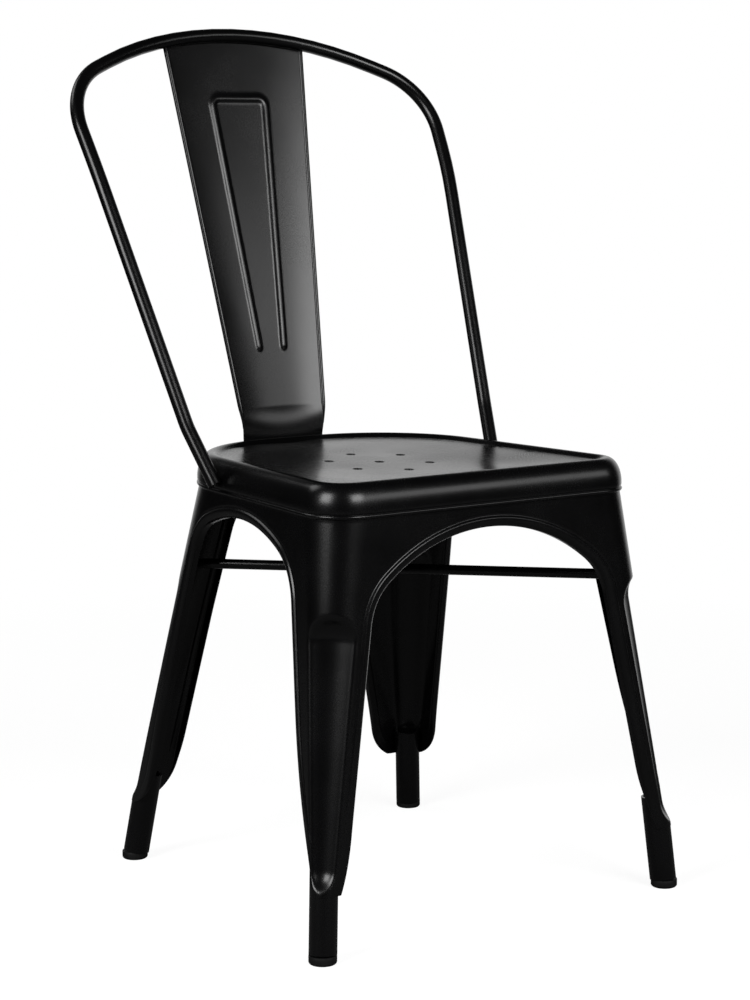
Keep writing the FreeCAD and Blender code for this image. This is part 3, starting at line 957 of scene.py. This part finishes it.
def dish_floor(edge, holes):
    """Triangles of the dish's floor, between its edge and the holes' lips."""
    loops = [edge] + holes
    flat = [Vector((p.x, p.y)) for loop in loops for p in loop]
    fixed = []
    fixed_count = 0
    for loop in loops:
        count = len(loop)
        fixed += [(fixed_count + k, fixed_count + (k + 1) % count) for k in range(count)]
        fixed_count += count
    flat += dish_spots(edge, holes)
    verts, _, faces, origins, _, _ = delaunay_2d_cdt(flat, fixed, [], HULL_TRIANGLES, SAME_SPOT)
    kept = []
    for face in faces:
        middle = sum((verts[k] for k in face), Vector((0, 0))) / len(face)
        if inside(middle, edge) and not any(inside(middle, hole) for hole in holes):
            kept.append(face)
    around = [set() for _ in verts]
    for face in kept:
        for k in face:
            around[k].update(face)
    held = [not near or any(k < fixed_count for k in origin) for near, origin in zip(around, origins)]
    heights = smoothed([dish_z(v, edge) for v in verts], around, held)
    return [Vector((v.x, v.y, z)) for v, z in zip(verts, heights)], kept


def hole_middles():
    """Middles of the drain holes: the ring, and the one inside it."""
    centre = Vector((0, HOLE_CENTRE_Y, 0))
    ring = []
    for i in range(HOLE_RING_COUNT):
        ring.append(centre + level_direction(HOLE_RING_START + 360 / HOLE_RING_COUNT * i) * HOLE_RING_R)
    return ring + [centre]


def hole_lip(middle, edge):
    """Rings of a drain hole's rounded lip, from the dish's floor down."""
    lip = []
    for wider, lower in HOLE_LIP:
        ring = [middle + level_direction(360 / HOLE_SIDES * k) * (HOLE_R + wider) for k in range(HOLE_SIDES)]
        for point in ring:
            point.z = dish_z(point, edge) - lower
        lip.append(ring)
    return lip


def seat_outward(point):
    return Vector((point.x, point.y, SEAT_OUTWARD_Z))


def splat_outward(_):
    return Vector((0, -1, 0))


def add_seat():
    """Seat pan with its rolled rim, and the drain holes in the dish's floor."""
    shape = Shape()
    rows = [seat_outline_points(inset, z) for inset, z in seat_profile()]
    shape.grid(rows, closed=True)
    edge = rows[-1]
    lips = [hole_lip(middle, edge) for middle in hole_middles()]
    for lip in lips:
        shape.grid(lip, closed=True)
    shape.add(*dish_floor(edge, [lip[0] for lip in lips]))
    shape.build("seat_sheet", "seat_pan", PAINT, seat_outward, SHEET, SHEET_SHARP_ANGLE)


def add_legs():
    """Four legs with their foot tubes and rubber feet. The right-hand ones are mirrored."""
    from_arches = away_from(Vector((0, LEG_MEET_Y, 0)))
    for end, back in (("front", False), ("back", True)):
        left_shapes = (leg_shape(back), foot_tube(back), foot_shape(back))
        x, y = tube_ends(back)[0]
        for side, mirror in (("left", 1), ("right", -1)):
            node = f"{end}_{side}_leg"
            foot_node = f"{end}_{side}_foot"
            sheet, tube, foot = [s if mirror == 1 else s.mirrored() for s in left_shapes]
            from_tube = away_from(Vector((x * mirror, y, 0)))
            sheet.build(node + "_sheet", node, PAINT, from_arches, SHEET, SHEET_SHARP_ANGLE)
            tube.build(node + "_tube", node, PAINT, from_tube, TUBE_WALL, SHEET_SHARP_ANGLE)
            foot.build(f"{end}_{side}_rubber", foot_node, RUBBER, from_tube, 0, RUBBER_SHARP_ANGLE)


def add_back():
    """Hoop and back panel. The panel's rolled edges are a mesh of their own."""
    hoop_shape().build("hoop_tube", "back_hoop", PAINT)
    rows = splat_rows()
    shape = Shape()
    shape.grid(rows)
    shape.build("splat_sheet", "back_splat", PAINT, splat_outward, SHEET, SHEET_SHARP_ANGLE)
    splat_rolls(rows).build("splat_rolled_edges", "back_splat", PAINT)


def dress_rods():
    """The rods keep the solids' meshes, with even shading: corners kept sharp, normals by face size."""
    for name in ("brace_rod_a", "brace_rod_b"):
        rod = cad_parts[name]
        for polygon in rod.data.polygons:
            polygon.use_smooth = True
        weld = rod.modifiers.new("weld", "WELD")
        weld.merge_threshold = ROD_MERGE_DISTANCE
        split_edges(rod, ROD_SHARP_ANGLE)
        normals = rod.modifiers.new("normals", "WEIGHTED_NORMAL")
        normals.weight = ROD_NORMAL_WEIGHT
        normals.keep_sharp = True
        rod.data.materials.clear()
        rod.data.materials.append(PAINT)


def add_camera():
    data = bpy.data.cameras.new("camera")
    camera = placed("camera", data)
    long_side = max(PHOTO_SIZE)
    data.sensor_width = SENSOR
    data.lens = SENSOR * FOCAL_PIXELS / long_side
    data.shift_x = (PHOTO_SIZE[0] / 2 - AXIS_PIXEL[0]) / long_side
    data.shift_y = (AXIS_PIXEL[1] - PHOTO_SIZE[1] / 2) / long_side
    data.clip_start, data.clip_end = CAMERA_CLIP
    camera.location = CAMERA_AT
    camera.rotation_mode = "QUATERNION"
    camera.rotation_quaternion = (CAMERA_AIM - CAMERA_AT).to_track_quat("-Z", "Y")
    bpy.context.scene.camera = camera


def math_node(tree, operation, a, b, clamp=False):
    """Arithmetic on two values, each a number or another node's output."""
    node = tree.nodes.new("ShaderNodeMath")
    node.operation = operation
    node.use_clamp = clamp
    for socket, value in zip(node.inputs, (a, b)):
        if hasattr(value, "links"):
            tree.links.new(value, socket)
        else:
            socket.default_value = value
    return node.outputs[0]


def vector_node(tree, operation, vector, result):
    """Node that works on a vector, and its output of a given name."""
    node = tree.nodes.new("ShaderNodeVectorMath")
    node.operation = operation
    tree.links.new(vector, node.inputs[0])
    return node, node.outputs[result]


def noise(tree, coordinates, scale, detail, roughness=0.5):
    node = tree.nodes.new("ShaderNodeTexNoise")
    node.inputs["Scale"].default_value = scale
    node.inputs["Detail"].default_value = detail
    node.inputs["Roughness"].default_value = roughness
    tree.links.new(coordinates, node.inputs["Vector"])
    return node.outputs["Fac"]


def ramp(tree, value, low, high, from_low=0.3, from_high=0.7):
    """A value stretched from one range to another, and held at its ends."""
    node = tree.nodes.new("ShaderNodeMapRange")
    node.inputs["From Min"].default_value = from_low
    node.inputs["From Max"].default_value = from_high
    node.inputs["To Min"].default_value = low
    node.inputs["To Max"].default_value = high
    tree.links.new(value, node.inputs["Value"])
    return node.outputs["Result"]


def mix_shaders(tree, share, first, second):
    mix = tree.nodes.new("ShaderNodeMixShader")
    tree.links.new(share, mix.inputs["Fac"])
    tree.links.new(first, mix.inputs[1])
    tree.links.new(second, mix.inputs[2])
    return mix.outputs[0]


def new_material(name):
    material = bpy.data.materials.new(name)
    material.use_nodes = True
    tree = material.node_tree
    tree.nodes.clear()
    output = tree.nodes.new("ShaderNodeOutputMaterial")
    return material, tree, output


def new_finish(name, specular):
    """Material with a main shader, and the coordinates its textures use."""
    material, tree, output = new_material(name)
    shader = tree.nodes.new("ShaderNodeBsdfPrincipled")
    shader.inputs["Specular IOR Level"].default_value = specular
    tree.links.new(shader.outputs[0], output.inputs["Surface"])
    return material, tree, shader, tree.nodes.new("ShaderNodeTexCoord").outputs["Object"]


def colour(tree, shader, share, low, high):
    """Base colour between two tones."""
    mix = tree.nodes.new("ShaderNodeMix")
    mix.data_type = "RGBA"
    mix.inputs["A"].default_value = (*low, 1)
    mix.inputs["B"].default_value = (*high, 1)
    tree.links.new(share, mix.inputs["Factor"])
    tree.links.new(mix.outputs["Result"], shader.inputs["Base Color"])


def bump(tree, shader, height, strength, distance):
    node = tree.nodes.new("ShaderNodeBump")
    node.inputs["Strength"].default_value = strength
    node.inputs["Distance"].default_value = distance
    tree.links.new(height, node.inputs["Height"])
    tree.links.new(node.outputs["Normal"], shader.inputs["Normal"])


def powder_coat():
    """Satin black powder coat: fine orange peel, and slow changes of tone and gloss."""
    material, tree, shader, place = new_finish("satin_black_powder_coat", PAINT_SPECULAR)
    cloud = noise(tree, place, scale=14, detail=3)
    grain = noise(tree, place, scale=900, detail=2, roughness=0.6)
    peel = noise(tree, place, scale=320, detail=3, roughness=0.55)
    colour(tree, shader, ramp(tree, cloud, 0, 1), *PAINT_TONES)
    gloss = ramp(tree, cloud, *PAINT_ROUGHNESS)
    speckle = ramp(tree, grain, -PAINT_SPECKLE, PAINT_SPECKLE)
    tree.links.new(math_node(tree, "ADD", gloss, speckle), shader.inputs["Roughness"])
    skin = math_node(tree, "ADD", peel, math_node(tree, "MULTIPLY", grain, PAINT_GRAIN_SHARE))
    bump(tree, shader, skin, strength=0.025, distance=0.0002)
    return material


def foot_rubber():
    """Matt black moulded rubber with a fine pitted skin."""
    material, tree, shader, place = new_finish("black_foot_rubber", RUBBER_SPECULAR)
    skin = noise(tree, place, scale=700, detail=4, roughness=0.65)
    scuff = noise(tree, place, scale=90, detail=4, roughness=0.6)
    colour(tree, shader, ramp(tree, scuff, 0, 1, *RUBBER_SCUFF_RANGE), *RUBBER_TONES)
    tree.links.new(ramp(tree, skin, *RUBBER_ROUGHNESS), shader.inputs["Roughness"])
    bump(tree, shader, skin, strength=0.25, distance=0.0003)
    return material


def along_backdrop(tree, vector):
    """How far a vector goes towards the white backdrop, which stands behind the chair."""
    node, along = vector_node(tree, "DOT_PRODUCT", vector, "Value")
    node.inputs[1].default_value = BACKDROP_WAY
    return along


def sees_white(tree, backdrop):
    """Share of white that a ray sees: all for the camera and through glass, and the backdrop's for gloss."""
    path = tree.nodes.new("ShaderNodeLightPath")
    gloss = math_node(tree, "MULTIPLY", path.outputs["Is Glossy Ray"], backdrop)
    seen = math_node(tree, "ADD", path.outputs["Is Camera Ray"], gloss)
    return math_node(tree, "ADD", seen, path.outputs["Is Transmission Ray"], clamp=True)


def diffuse(tree, tone):
    node = tree.nodes.new("ShaderNodeBsdfDiffuse")
    node.inputs["Color"].default_value = (tone, tone, tone, 1)
    return node.outputs[0]


def emission(tree, strength):
    node = tree.nodes.new("ShaderNodeEmission")
    node.inputs["Strength"].default_value = strength
    return node.outputs[0]


def background(tree, strength):
    node = tree.nodes.new("ShaderNodeBackground")
    node.inputs["Color"].default_value = WHITE
    node.inputs["Strength"].default_value = strength
    return node.outputs[0]


def floor_material():
    """White floor that shows as the backdrop's white to the camera, less the chair's soft shadow."""
    material, tree, output = new_material("white_floor")
    place = tree.nodes.new("ShaderNodeTexCoord").outputs["Object"]
    distance = vector_node(tree, "LENGTH", place, "Value")[1]
    way = vector_node(tree, "NORMALIZE", place, "Vector")[1]

    shaded = tree.nodes.new("ShaderNodeAddShader")
    tree.links.new(emission(tree, FLOOR_GLOW), shaded.inputs[0])
    tree.links.new(diffuse(tree, FLOOR_SHADOW_TONE), shaded.inputs[1])
    fade = ramp(tree, distance, 0, 1, *SHADOW_FADE)
    seen_floor = mix_shaders(tree, fade, shaded.outputs[0], emission(tree, 1.0))

    behind = ramp(tree, along_backdrop(tree, way), 0, 1, *BACKDROP_FADE)
    clear = ramp(tree, distance, 0, 1, *GLOSS_CLEAR)
    white = sees_white(tree, math_node(tree, "MULTIPLY", behind, clear))
    surface = mix_shaders(tree, white, diffuse(tree, FLOOR_LIT_TONE), seen_floor)
    tree.links.new(surface, output.inputs["Surface"])
    return material


def add_floor():
    mesh = bpy.data.meshes.new("floor")
    rim = [(FLOOR_RADIUS * math.cos(a), FLOOR_RADIUS * math.sin(a), 0) for a in turns(FLOOR_SIDES)]
    mesh.from_pydata(rim, [], [list(range(FLOOR_SIDES))])
    floor = placed("floor", mesh)
    mesh.materials.append(floor_material())


def add_world():
    """White to the camera. Gloss sees white only low down behind the chair, where the backdrop stands."""
    world = bpy.data.worlds.new("studio")
    bpy.context.scene.world = world
    world.use_nodes = True
    tree = world.node_tree
    tree.nodes.clear()
    output = tree.nodes.new("ShaderNodeOutputWorld")
    way = tree.nodes.new("ShaderNodeTexCoord").outputs["Generated"]
    split = tree.nodes.new("ShaderNodeSeparateXYZ")
    tree.links.new(way, split.inputs[0])
    behind = ramp(tree, along_backdrop(tree, way), 0, 1, *BACKDROP_FADE)
    low = ramp(tree, split.outputs["Z"], 1, 0, *BACKDROP_TOP)
    white = sees_white(tree, math_node(tree, "MULTIPLY", behind, low))
    surface = mix_shaders(tree, white, background(tree, WORLD_STRENGTH), background(tree, 1.0))
    tree.links.new(surface, output.inputs["Surface"])


def add_lights():
    """Soft lamps in front and to the left, as the highlights in the photograph show, and one behind."""
    for name, azimuth, elevation, width, height, watts in LAMPS:
        data = bpy.data.lights.new(name, "AREA")
        data.shape = "RECTANGLE"
        data.size = width
        data.size_y = height
        data.energy = watts
        a, e = math.radians(azimuth), math.radians(elevation)
        way = Vector((math.cos(e) * math.cos(a), math.cos(e) * math.sin(a), math.sin(e)))
        at = LAMP_AIM + way * LAMP_REACH
        lamp = placed(name, data)
        lamp.location = at
        lamp.rotation_mode = "QUATERNION"
        lamp.rotation_quaternion = (LAMP_AIM - at).to_track_quat("-Z", "Y")
        lamp.visible_camera = False


PAINT = powder_coat()
RUBBER = foot_rubber()

add_camera()
add_world()
add_lights()
add_floor()
add_seat()
add_legs()
add_back()
dress_rods()

bpy.context.scene.view_settings.view_transform = "Standard"
